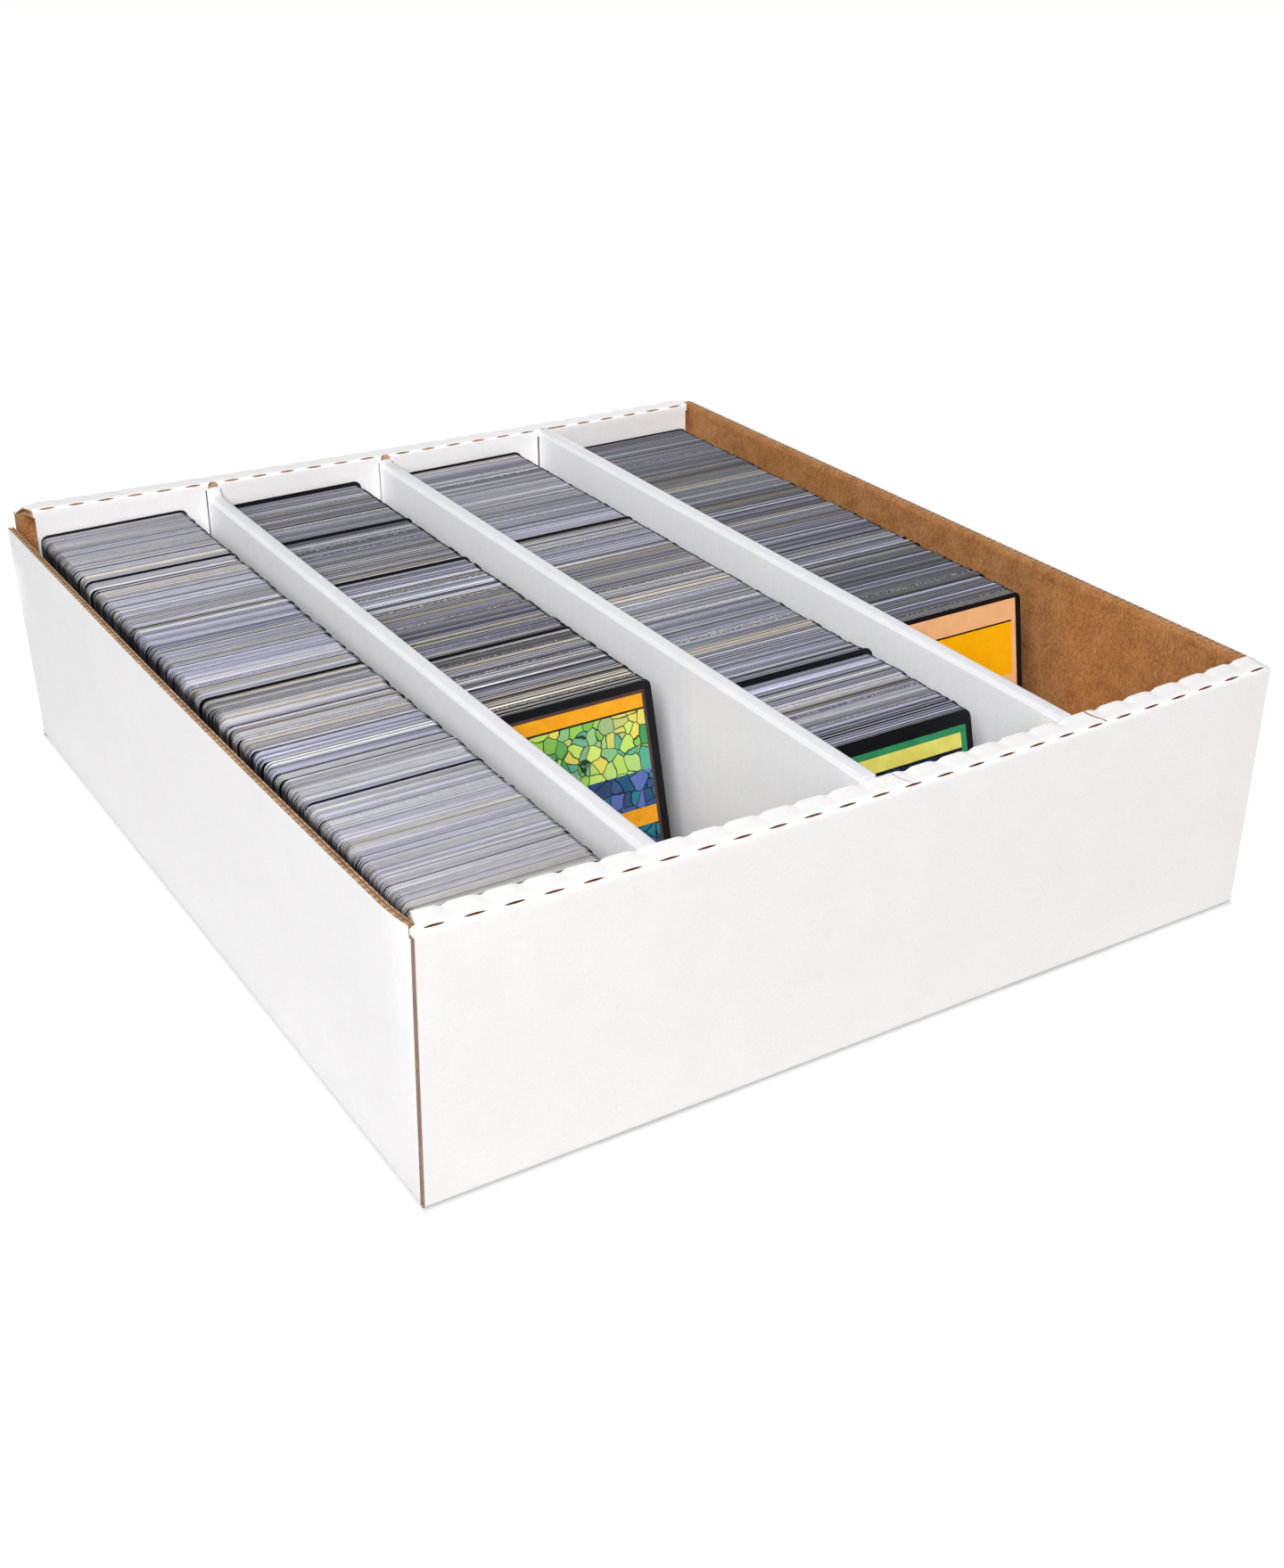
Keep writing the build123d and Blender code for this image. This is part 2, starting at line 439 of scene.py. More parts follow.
# %% Settling of the board
front_bow = 4.85
front_left_pull = 2.4
front_right_pull = 2.4
back_lift = 7.65
back_left_pull = 2.0
left_spread = 2.0
left_pull = 3.0
left_tuck = 1.45
left_tuck_reach = 16.0
right_tilt = 1.2
tuck_depth = 6.0
end_drop = 4.0


def held(value):
    """A value held between 0 and 1."""
    return min(1, max(0, value))


def end_settled(place):
    """Where a point of a rolled end wall comes to lie."""
    x, y, z = place
    share = x / half_width
    rise = z / box_height
    if y < 0:
        y -= front_bow * (1 - share * share) * rise
        x += (front_left_pull * max(0, -share) ** 3 + front_right_pull * max(0, share) ** 3) * rise
    else:
        z += back_lift * max(0, (1 - share) / 2) ** 1.5 * rise
        x += back_left_pull * max(0, -share) ** 8 * rise
    return Vector((x, y, z))


def side_settled(place):
    """Where a point of a side wall comes to lie: the left spreads, the right tilts, tucked in front."""
    x, y, z = place
    rise = z / box_height
    tucked = held((flap_face - y) / (2 * board))
    if x < 0:
        pull = max(0, (-front / 3 - y) / (-front * 4 / 3))
        curl = max(0, (front + board + left_tuck_reach - y) / left_tuck_reach)
        x += (left_pull * pull ** 2 - left_spread + left_tuck * curl ** 2) * rise
    else:
        x += front_right_pull * tucked ** 2 * rise
        z -= (right_tilt / 2 * y / -front + tuck_depth * min(1, 3 * tucked) * rise ** 6) * rise
    z -= end_drop * (abs(y) > -front - board + paper_gap) * rise ** 6
    return Vector((x, y, z))


print(f"front bow {front_bow} mm, back lift {back_lift} mm")

# %% [markdown]
# ## Side walls, floor and corner flaps
#
# The side walls are single boards with upright flutes. The knife that cut them pressed their top
# edges into two ridges with a groove between, striped where the flutes end. The floor has its white
# side below and four lock slots. The corner flaps continue the side walls round the corner, inside
# the rolled end walls, and show brown at the back left.

# %% Die cutting
lock_slot_width = 50
lock_slot_rise = 1.0
fit_gap = 0.3
overrun = 2.0
outer_dividers = (divider_places[0], divider_places[2])


def die_cut(bm, cutters):
    """Cut one bmesh with another, as a die cuts board; the cut faces keep the cutters' material."""
    objects = []
    bmesh.ops.recalc_face_normals(cutters, faces=cutters.faces)
    for label, shape in (("stock", bm), ("die", cutters)):
        mesh = as_mesh(shape, label)
        # A cut loses the material numbers that have no material, so both carry a full set
        for material in flap_set:
            mesh.materials.append(material)
        objects.append(bpy.data.objects.new(label, mesh))
        bpy.context.scene.collection.objects.link(objects[-1])
    stock, die = objects
    cut = stock.modifiers.new("cut", "BOOLEAN")
    cut.operation = "DIFFERENCE"
    cut.solver = "EXACT"
    cut.object = die
    evaluated = stock.evaluated_get(bpy.context.evaluated_depsgraph_get())
    result = bmesh.new()
    result.from_mesh(evaluated.data)
    for used in objects:
        mesh = used.data
        bpy.data.objects.remove(used)
        bpy.data.meshes.remove(mesh)
    return result


def block(bm, low, high):
    """Add a box between two corners."""
    size = Vector(high) - Vector(low)
    middle = (Vector(high) + Vector(low)) / 2
    bmesh.ops.create_cube(bm, size=1, matrix=Matrix.Translation(middle) @ Matrix.Diagonal((*size, 1)))


def lock_cutter(die, middle, depths, top):
    """Add a cutter over one lock slot, between two places along Y and from below the box to its top."""
    half_slot = lock_slot_width / 2
    low_y, high_y = sorted(depths)
    block(die, (middle - half_slot, low_y, -overrun), (middle + half_slot, high_y, top))


print("lock slots at", [round(place, 1) for place in outer_dividers])

# %% Side walls
edge_height = 3.0
groove_depth = 1.5
groove_places = (1.2, 1.35, 1.65, 1.8)
edge_width = 2.4
edge_chamfer = 1.6
wrap = 0.8
low_fold = 2.1
side_cuts = 24
bend_steps = (-2.4, -1.2, 0, 0.7, 1.4)
bend_shares = (0.15, 0.3, 0.45, 0.6, 0.75, 0.9)


def pressed_edge(length):
    """The top of a side wall, where the knife presses the papers into two ridges with a groove between."""
    floor_z = edge_height - groove_depth
    first, second, third, fourth = groove_places
    outline = [
        (0, 0), (0, edge_height), (first, edge_height), (second, floor_z), (third, floor_z),
        (fourth, edge_height), (edge_width, edge_height), (board, edge_height - edge_chamfer), (board, 0),
    ]
    bm = bmesh.new()
    stamp(bm, swept(outline, -length / 2, length / 2, side_cuts))
    bm.normal_update()
    # All but the ridges, the ends and the white face take the brown liner: on the inner side that is the
    # liner itself, in the groove it is painted shade.
    for face in bm.faces:
        spot = face.calc_center_median()
        ridge = face.normal.z > square and spot.z > floor_z + liner_thickness
        if abs(face.normal.x) > facing:
            face.material_index = RAW
        elif spot.y < liner_thickness / 2 and abs(face.normal.y) > facing:
            face.material_index = WHITE
        else:
            face.material_index = RAW if ridge else BROWN
    return as_mesh(bm)


for side, quarter_turns in (("left", 3), ("right", 1)):
    name = f"{side}_side_wall"
    low, high = node_box(name)
    outer_x = low.x if side == "left" else high.x
    length = high.y - low.y + 2 * wrap
    bm = bmesh.new()
    panel = fluted_panel(length, high.z - edge_height, True, side_cuts, low_fold)
    stamp(bm, panel, at((outer_x, 0, 0), quarter_turns))
    stamp(bm, pressed_edge(length), at((outer_x, 0, high.z - edge_height), quarter_turns))
    bends = [flap_face - board * step for step in bend_steps]
    corners = [end * (-front - board + step) for end in (-1, 1) for step in (0, 2 * paper_gap)]
    sliced(bm, "Y", bends + corners)
    sliced(bm, "Z", [high.z * share for share in bend_shares])
    bm.normal_update()
    # The ends, where a side wall meets the end walls, take the dim seam kraft: painted shade.
    for face in bm.faces:
        if abs(face.normal.y) > square:
            face.material_index = FOLD
    board_piece(bm, name, side_set, side_settled)
    print(name, [round(size, 1) for size in high - low])

# %% Floor
low, high = node_box("tray_floor")
bm = bmesh.new()
stamp(bm, fluted_panel(high.x - low.x, high.y - low.y, False), at((0, high.y, 0), tip=math.pi / 2))
slots = bmesh.new()
for place in outer_dividers:
    for end in (-1, 1):
        depths = [end * (flap_face - board - fit_gap), end * (flap_face + fit_gap)]
        lock_cutter(slots, place, depths, board + overrun)
board_piece(die_cut(bm, slots), "tray_floor", side_set)
print("floor with four lock slots")

# %% Corner flaps
end_walls = (("front", -1), ("back", 1))
flap_cuts = 6

for end, outward in end_walls:
    for side in ("left", "right"):
        name = f"{end}_{side}_corner_flap"
        low, high = node_box(name)
        bm = bmesh.new()
        panel = fluted_panel(high.x - low.x, high.z - low.z, True, flap_cuts)
        outer_y = low.y if end == "front" else high.y
        stamp(bm, panel, at(((low.x + high.x) / 2, outer_y, low.z), 1 + outward))
        board_piece(bm, name, end_set, end_settled if end == "front" else None)
print("four corner flaps")

# %% [markdown]
# ## Rolled end walls
#
# Each end wall is one sheet rolled over: up outside, across the top and down inside. The sheet is
# perforated along both folds so that it bends there, and the cuts gape into brown dashes. The strip
# could be modelled opening by opening, but a slab with rounded folds is cut by dies of lens-shaped,
# half-round and knife-thin cutters instead, which is how the real blank is made. Cutters of one die
# may not overlap, so a strip goes under two or three dies in turn. Inside, the sheet ends in a flap
# for each row, whose tab locks into the floor.

# %% Outer walls
end_shy = 0.3
wall_cuts = 30

for end, outward in end_walls:
    name = f"{end}_outer_wall"
    low, high = node_box(name)
    end_x = half_width - end_shy
    bm = bmesh.new()
    panel = fluted_panel(2 * end_x, high.z, False, wall_cuts, low_fold)
    stamp(bm, panel, at((0, outward * -front, 0), 1 + outward))
    notches = bmesh.new()
    for place in outer_dividers:
        depths = [outward * (-front + overrun), outward * (-front - board - overrun)]
        lock_cutter(notches, place, depths, lock_slot_rise)
    bm = die_cut(bm, notches)
    plain_faces = len(bm.faces)
    for side in (-1, 1):
        low_x, high_x = sorted((side * end_x, side * (end_x - board)))
        block(bm, (low_x, low.y + liner_thickness, low_fold), (high_x, high.y - liner_thickness, high.z))
    bm.normal_update()
    # The pressed ends and all end faces take the dim seam kraft: painted shade.
    for number, face in enumerate(bm.faces):
        if number >= plain_faces or abs(face.normal.x) > square:
            face.material_index = FOLD
    board_piece(bm, name, end_set, end_settled)
print("two outer walls, with the flutes pressed shut at their ends")

# %% Perforation dies
dash_pitch = 12.7
dash_length = 6.35
dash_cut = 7.0
dash_depth = {"front": 2.4, "back": 0.7}
dash_paper = {"front": BROWN, "back": RAW}
dash_pinch = 1.2
crease_radius = 1.4
outer_crease_radius = 2.2
perforation_margin = 3.0
round_segments = 16


def add_cutter(die, cutter, paper, matrix=Matrix.Identity(4)):
    """Add a closed cutter to a die, moved by a matrix; what it cuts shows this paper."""
    for face in cutter.faces:
        face.material_index = paper
    stamp(die, as_mesh(cutter), matrix)


def lens(die, end, x, y, width, lean, radius, length=dash_cut):
    """Add a lens-shaped cutter for one dash, laid along a crease of an end wall and sunk square to it."""
    cutter = bmesh.new()
    bmesh.ops.create_circle(cutter, cap_ends=True, segments=round_segments, radius=0.5)
    for vert in cutter.verts:
        vert.co.y *= width * (1 - dash_pinch * vert.co.x ** 2)
        vert.co.x *= length
    crease_drop = radius * (math.sqrt(2) - 1)
    extruded(cutter, (0, 0, -dash_depth[end] - crease_drop - overrun))
    crease = Matrix.Translation((x, y, box_height)) @ Matrix.Rotation(lean, 4, "X")
    add_cutter(die, cutter, dash_paper[end], crease @ Matrix.Translation((0, 0, overrun)))


def dash_places(middle, span):
    """Places of the dashes in one stretch of crease: as many as fit, centred."""
    count = int((span - dash_length) / dash_pitch) + 1
    return [middle + (step - (count - 1) / 2) * dash_pitch for step in range(count)]


outer_places = dash_places(0, 2 * half_width - 2 * perforation_margin)
inner_places = [x for middle in row_middles for x in dash_places(middle, row_pitch - divider_thickness)]
print(len(outer_places), "dashes on an outer crease,", len(inner_places), "on an inner one")

# %% [markdown]
# The board doesn't fold like sheet metal. Between two cuts the liner stretches over the fold and
# stands up in a low bump, and at each cut it dips, so the front's inner crease looks scalloped. At its
# ends the strip droops. These are again smooth functions of the place, applied after the cutting.

# %% Shape of the strips
bump_height = {"front": 0.9, "back": 0.5}
bump_gap = 1.7
end_inset = 0.35
end_droop = {"front": 1.7, "back": 2.6}
end_droop_reach = {"front": 5.0, "back": 8.0}


def strip_settled(end):
    """The settling of one top strip: bumps along one crease, drooping ends, then that of its wall."""
    places = inner_places if end == "front" else outer_places
    raised, flat = (flap_face, front) if end == "front" else (-front, -flap_face)

    def settled(place):
        x, y, z = place
        upper = (z - strip_underside) / (box_height - strip_underside)
        across = held((y - flat) / (raised - flat))
        nearest = min(abs(x - spot) for spot in places)
        bump = 1 - math.exp(-(nearest / bump_gap) ** 2)
        droop = max(0, (abs(x) - half_width + end_droop_reach[end]) / end_droop_reach[end])
        z += upper * (bump_height[end] * bump * across ** 2 - end_droop[end] * droop ** 2)
        if end == "front" and x < 0:
            x += end_inset * droop ** 2
        return end_settled((x, y, z))

    return settled


print("bumps of", bump_height, "mm")

# %% [markdown]
# The strips also show how the box was put together. The front one is slit behind two dividers, where
# the board gave way as they went in. The back one has a half-round notch for each divider's end, and
# a crushed flute gapes at its raw left end. These could be painted on, but real openings take light
# and shade from every side, so they are cut like the dashes.

# %% Cutters for slits, notches and a flute
notch_radius = 2.9
notch_segments = 24
slit_run = 3.0
slit_segments = 8
hole_width = 6.4
hole_height = 1.9
hole_depth = 9.0


def plan_cutter(die, corners, low_z, high_z, paper):
    """Add a cutter that stands on an outline given in plan."""
    cutter = bmesh.new()
    cutter.faces.new([cutter.verts.new((x, y, low_z)) for x, y in corners])
    extruded(cutter, (0, 0, high_z - low_z))
    add_cutter(die, cutter, paper)


def slit_cutter(die, x, y_low, y_high, width):
    """Add a knife-thin curved cutter across the strip, from its inner edge towards the outer crease."""
    cutter = bmesh.new()
    bmesh.ops.create_grid(cutter, x_segments=slit_segments, y_segments=1, size=0.5)
    for vert in cutter.verts:
        along, down = vert.co.x + 0.5, vert.co.y + 0.5
        y = y_low + (y_high - y_low) * along
        vert.co = (x + slit_run * along ** 2, y, box_height + overrun - 2 * overrun * down)
    extruded(cutter, (width, 0, 0))
    add_cutter(die, cutter, BROWN)


def notch_cutter(die, x, y):
    """Add the half-round recess of the back strip in which a divider's end lies, with raw paper round it."""
    cutter = bmesh.new()
    bmesh.ops.create_cone(
        cutter, cap_ends=True, segments=notch_segments,
        radius1=notch_radius, radius2=notch_radius, depth=4 * board,
    )
    add_cutter(die, cutter, RAW, Matrix.Translation((x, y, box_height)))


def hole_cutter(die, x, y, z):
    """Add the flattened flute that opens in the raw end of a strip, along X from its place."""
    cutter = bmesh.new()
    bmesh.ops.create_circle(cutter, cap_ends=True, segments=round_segments, radius=0.5)
    bmesh.ops.scale(cutter, vec=(hole_height, hole_width, 1), verts=cutter.verts)
    extruded(cutter, (0, 0, hole_depth))
    add_cutter(die, cutter, RAW, Matrix.Translation((x, y, z)) @ Matrix.Rotation(math.pi / 2, 4, "Y"))


print("notches of", 2 * notch_radius, "mm")

# %% Strip slabs and their perforations
outer_dash_width = 0.75
inner_dash_width = {"front": 1.8, "back": 0.9}
crease_lean = math.radians(45)
strip_cuts = 310
strip_loop_shares = (0.35, 0.5, 0.65)
end_paper = {"front": WHITE, "back": RAW}
taper_sides = {"front": (-1,), "back": (-1, 1)}
taper_start = {"front": 2.0, "back": 3.5}
taper_end = {"front": 4.1, "back": 6.6}


def strip_slab(end, outward):
    """An uncut strip with two round folds, white on top, brown below, and the set's fold paper outside,
    painted shade on the back strip.
    """
    low, high = node_box(f"{end}_top_strip")
    loops = [(low.y + (high.y - low.y) * share, high.z) for share in strip_loop_shares]
    outline = [(low.y, low.z), (low.y, high.z), *loops, (high.y, high.z), (high.y, low.z)]
    near, far = (outer_crease_radius, crease_radius)[::-outward]
    bm = bmesh.new()
    stamp(bm, swept(outline, low.x, high.x, strip_cuts, [(1, near), (2 + len(loops), far)]))
    for face in bm.faces:
        if face.normal.z < -facing:
            face.material_index = BROWN
        elif abs(face.normal.x) > facing:
            face.material_index = end_paper[end]
        else:
            # Faces towards the outside take the set's fold paper; on the back strip that is a greyer white,
            # painted shade.
            face.material_index = FOLD if face.normal.y * outward > leaning else WHITE
    return bm


def crease_die(end, outward):
    """The die that perforates both creases of a strip and cuts its tapered ends, only the left one on the
    front strip.
    """
    outer_y, inner_y = outward * -front, outward * -flap_face
    lean = crease_lean * -outward
    die = bmesh.new()
    for x in outer_places:
        lens(die, end, x, outer_y, outer_dash_width, lean, outer_crease_radius)
    for x in inner_places:
        lens(die, end, x, inner_y, inner_dash_width[end], -lean, crease_radius)
    for side in taper_sides[end]:
        edge = side * half_width
        step_y = outer_y - outward * board
        plan_cutter(die, [
            (edge - side * taper_start[end], step_y),
            (edge + side * overrun, step_y),
            (edge + side * overrun, inner_y - outward * overrun),
            (edge - side * taper_end[end], inner_y - outward * overrun),
        ], strip_underside - overrun, box_height + overrun, end_paper[end])
    return die


print("strips with", strip_cuts, "loop cuts")

# %% Top strips
slits = ((divider_places[1], 0.3), (divider_places[2], 0.8))
notch_shift = 1.9
long_dash = 9.0
strip_sets = {"front": [*flap_set[:FOLD], end_white], "back": flap_set}


def front_wear():
    """The last die of the front strip: its two slits."""
    die = bmesh.new()
    for x, width in slits:
        slit_cutter(die, x + divider_thickness / 2, flap_face, front + outer_dash_width, width)
    return [die]


def back_wear():
    """The last two dies of the back strip: its notches, then a dash torn long and the crushed flute."""
    low, high = node_box("back_top_strip")
    notch_die = bmesh.new()
    for place in divider_places:
        notch_cutter(notch_die, place, -flap_face - notch_shift)
    tear_die = bmesh.new()
    middle, width = divider_places[2] + long_dash / 2, inner_dash_width["back"]
    lens(tear_die, "back", middle, -flap_face, width, crease_lean, crease_radius, long_dash)
    hole_cutter(tear_die, low.x - overrun, (low.y + high.y) / 2, (low.z + high.z) / 2)
    return [notch_die, tear_die]


for end, outward in end_walls:
    bm = strip_slab(end, outward)
    for die in (crease_die(end, outward), *(front_wear() if end == "front" else back_wear())):
        bm = die_cut(bm, die)
    board_piece(bm, f"{end}_top_strip", strip_sets[end], strip_settled(end))
    print(f"{end} strip cut")

# %% Inner flaps
for end, outward in end_walls:
    for row in range(4):
        name = f"{end}_inner_flap_{row + 1}"
        low, high = node_box(name)
        bm = bmesh.new()
        face_y = high.y if end == "front" else low.y
        panel = fluted_panel(high.x - low.x, strip_underside - board, False, flap_cuts)
        stamp(bm, panel, at(((low.x + high.x) / 2, face_y, board), 1 - outward))
        nearest = outer_dividers[0] if row < 2 else outer_dividers[1]
        tab_low = max(low.x, nearest - lock_slot_width / 2 + fit_gap)
        tab_high = min(high.x, nearest + lock_slot_width / 2 - fit_gap)
        tab = fluted_panel(tab_high - tab_low, board, False)
        stamp(bm, tab, at(((tab_low + tab_high) / 2, face_y, 0), 1 - outward))
        board_piece(bm, name, flap_set, end_settled)
print("eight inner flaps")

# %% [markdown]
# ## Dividers
#
# A divider is one sheet folded double: two leaves that touch, joined by a soft round fold on top. Its
# outline is an upside-down U, rounded at the two upper corners and run along the box. Its front end is
# tucked under the strip, and its back end rises a little into the half-round notch there.

# %% Settling of the dividers
divider_top = strip_underside - fit_gap
divider_shifts = {"left": (-0.8, 0.2), "centre": (-0.8, 0.0), "right": (0.0, 0.5)}
divider_rises = {"left": (1.6, 2.9), "centre": (2.4, 3.3), "right": (2.3, 4.4)}
tuck = 0.8
tongue = 0.85
tongue_run = 3.0
tongue_drop = 2.0
tongue_taper = 0.8
tongue_lip_share = 0.1


def divider_settled(side):
    """The settling of one divider: it stands a little askew, and its ends go into the rolled walls."""
    shift_front, shift_back = divider_shifts[side]
    rise_front, rise_back = divider_rises[side]
    middle = divider_places[divider_sides.index(side)]

    def settled(place):
        x, y, z = place
        share = held((y - flap_face) / (-2 * flap_face))
        reach, run = (tongue, tongue_lip_share * tongue) if y > 0 else (tuck, tuck)
        free = held((reach - flap_face - abs(y)) / run)
        lifted = end_settled((x, -flap_face, strip_underside)).z - strip_underside
        rise = rise_front + (rise_back - rise_front) * share
        climb = held((y + flap_face + tongue_run) / tongue_run) ** 2
        rise += climb * max(0, lifted + box_height - tongue_drop - divider_top - rise)
        rise *= free
        shift = shift_front + (shift_back - shift_front) * share
        into = held((y + flap_face) / tongue)
        high_up = held((z - strip_underside + 2 * board) / board)
        x = middle + (x - middle) * (1 - high_up * (1 - math.sqrt(1 - tongue_taper * into ** 2)))
        under_strip = end_settled((x, y, z)).z - z
        return Vector((x + shift * z / box_height, y, z + rise * z / box_height + under_strip * (1 - free)))

    return settled


print("rises of the dividers:", divider_rises)

# %% Dividers
leaf_gap = 0.2
divider_cuts = 20
divider_round_share = 0.3
climb_shares = (0.25, 0.5, 0.75, 1)
tip_shares = (0, 0.3, 0.6, 0.8, 0.9, 1)

for side, middle, (low, high) in zip(divider_sides, divider_places, divider_boxes):
    half = divider_thickness / 2
    slit_top = high.z - board
    outline = [
        (-half, low.z), (-half, high.z), (half, high.z), (half, low.z),
        (leaf_gap / 2, low.z), (leaf_gap / 2, slit_top), (-leaf_gap / 2, slit_top), (-leaf_gap / 2, low.z),
    ]
    radius = divider_thickness * divider_round_share
    bm = bmesh.new()
    folded = swept(outline, low.y, high.y, divider_cuts, [(1, radius), (2, radius)])
    stamp(bm, folded, at((middle, 0, 0), 1))
    climbs = [-flap_face - tongue_run * share for share in climb_shares]
    tips = [tongue * share - flap_face for share in tip_shares]
    sliced(bm, "Y", [flap_face, flap_face - tuck, *climbs, *tips])
    for face in bm.faces:
        inside = abs(face.calc_center_median().x - middle) < leaf_gap
        if inside and face.normal.z < facing:
            face.material_index = BROWN
        elif abs(face.normal.y) > facing or face.normal.z < -facing:
            face.material_index = RAW
        else:
            # The top and its round folds take the greyer fold white: painted shade.
            face.material_index = FOLD if face.normal.z > facing else WHITE
    board_piece(bm, f"{side}_divider", divider_set, divider_settled(side))
print("three dividers")

# %% [markdown]
# ## Card stock and print
#
# Playing cards are coated card cut from printed sheets. Seen from above, each is a cut edge a third
# of a millimetre wide: grey or lavender paper, now and then tan, dark or white, and no two sheets are
# quite alike. So every card carries its own tint in an attribute, and the material adds the little
# chips along worn edges. The faces are satin prints with a black border and plain areas of colour.

# %% Cut edges of the cards
streak_size = 5
chip_size = 0.9


def cut_card_edges():
    """Cut edges of coated card: matte paper in each card's own tint, with pale chips where it is worn."""
    material, tree, place, shader = new_material("card_stock_cut_edge")
    tint = add(tree, "Attribute", attribute_name="tint")
    along = add(tree, "Mapping", {"Vector": place, "Scale": (1.0, 9.0, 9.0)})
    streak = add(tree, "TexNoise", {
        "Vector": along.outputs["Vector"], "Scale": per(streak_size), "Detail": 3.0,
    })
    shade = add(tree, "MapRange", {
        "Value": streak.outputs["Fac"], "From Min": 0.3, "From Max": 0.7, "To Min": 0.88, "To Max": 1.12,
    })
    toned = add(tree, "VectorMath", {
        0: tint.outputs["Color"], "Scale": shade.outputs["Result"],
    }, operation="SCALE")
    chips = add(tree, "TexNoise", {"Vector": place, "Scale": per(chip_size), "Detail": 2.0})
    chipped = add(tree, "MapRange", {
        "Value": chips.outputs["Fac"], "From Min": 0.52, "From Max": 0.6, "To Max": tint.outputs["Alpha"],
    })
    colour = add(tree, "Mix", {
        0: chipped.outputs["Result"], 6: toned.outputs[0], 7: ink("#DCD8D2"),
    }, data_type="RGBA")
    wire(tree, shader, {"Base Color": colour.outputs[2], "Roughness": 0.85, "Specular IOR Level": 0.08})
    return material


card_edge = cut_card_edges()
print("card edges:", card_edge.name)

# %% Plain prints
ink_cloud_size = 5
satin = {"Roughness": 0.38, "Specular IOR Level": 0.2}


def plain_print(name, dark, pale):
    """Flat print on coated card: one ink with a faint cloudiness, under a satin varnish."""
    material, tree, place, shader = new_material(f"card_print_{name}")
    cloud = add(tree, "TexNoise", {"Vector": place, "Scale": per(ink_cloud_size), "Detail": 3.0})
    colour = add(tree, "Mix", {0: cloud.outputs["Fac"], 6: ink(dark), 7: ink(pale)}, data_type="RGBA")
    wire(tree, shader, {"Base Color": colour.outputs[2], **satin})
    return material


black_print = plain_print("black", "#090A0D", "#121318")
umber_print = plain_print("umber", "#3A2B2A", "#5A4440")
gold_print = plain_print("gold", "#D9840F", "#F6B426")
peach_print = plain_print("peach", "#E6A870", "#F4C190")
leaf_print = plain_print("leaf", "#1F6B45", "#3E9A66")
yellow_print = plain_print("yellow", "#C9BE45", "#F0E683")
amber_print = plain_print("amber", "#F3A200", "#FDBE0E")
print("plain prints:", black_print.name, gold_print.name, peach_print.name)

# %% Mosaic prints
wobble_size = 9


def mosaic_print(name, size, line, codes):
    """A printed mosaic: cells of several inks with fine dark outlines, under a satin varnish."""
    material, tree, place, shader = new_material(f"card_print_{name}")
    wobble = add(tree, "TexNoise", {"Vector": place, "Scale": per(wobble_size), "Detail": 2.0})
    bent = add(tree, "VectorMath", {
        0: wobble.outputs["Color"], 1: (size * MM,) * 3, 2: place,
    }, operation="MULTIPLY_ADD")
    cells = add(tree, "TexVoronoi", {"Vector": bent.outputs[0], "Scale": per(size)})
    edges = add(tree, "TexVoronoi", {
        "Vector": bent.outputs[0], "Scale": per(size),
    }, feature="DISTANCE_TO_EDGE")
    pick = add(tree, "SeparateColor", {"Color": cells.outputs["Color"]})
    stops = [(step / (len(codes) - 1), code) for step, code in enumerate(codes)]
    inks = add(tree, "ValToRGB", {"Fac": pick.outputs[0]}, stops=stops)
    lined = add(tree, "MapRange", {
        "Value": edges.outputs["Distance"], "From Min": 0.02, "From Max": 0.05,
    })
    colour = add(tree, "Mix", {
        0: lined.outputs["Result"], 6: ink(line), 7: inks.outputs["Color"],
    }, data_type="RGBA")
    wire(tree, shader, {"Base Color": colour.outputs[2], **satin})
    return material


greens = ["#2E8B57", "#8CC152", "#C6DE6A", "#3E9C8A", "#E3D257"]
blues = ["#1E5F7A", "#2D8C93", "#20466B", "#5C6FB0", "#1F3B55"]
dusks = ["#1B2440", "#2C3563", "#151A30", "#24445A"]
browns = ["#3B2A1E", "#59412B", "#4A3423"]
green_mosaic = mosaic_print("green_mosaic", 5, "#1E3A26", greens)
blue_mosaic = mosaic_print("blue_mosaic", 5, "#10202F", blues)
dusk_mosaic = mosaic_print("dusk_mosaic", 6, "#0C101C", dusks)
back_print = mosaic_print("back_lattice", 3, "#6C5B45", browns)
print("mosaic prints:", green_mosaic.name, blue_mosaic.name, dusk_mosaic.name, back_print.name)

# %% [markdown]
# ## One card
#
# A card is a rectangle with rounded corners, given its thickness by one extrusion. It has only a few
# dozen faces, because thousands of them fill the box. A printed card is the same shape with its front
# split along straight lines into a border, bars and picture panels.

# %% Card shapes
card_width = 63.0
card_height = 88.0
card_pitch = 0.31
card_thickness = 0.31
card_corner = 3.0
corner_segments = 3
worn_rim = 0.15
EDGE, BLACK, BAR, PICTURE, LOWER, BACK, FRAME = range(7)


def card_blank():
    """A flat card in a bmesh, bottom edge on the origin, facing +Z."""
    bm = bmesh.new()
    bmesh.ops.create_grid(bm, x_segments=1, y_segments=1, size=0.5)
    bmesh.ops.scale(bm, vec=(card_width, card_height, 1), verts=bm.verts)
    bmesh.ops.translate(bm, vec=(0, card_height / 2, 0), verts=bm.verts)
    bmesh.ops.bevel(
        bm, geom=bm.verts[:], offset=card_corner, offset_type="OFFSET", segments=corner_segments,
        profile=0.5, affect="VERTICES", material=-1,
    )
    return bm


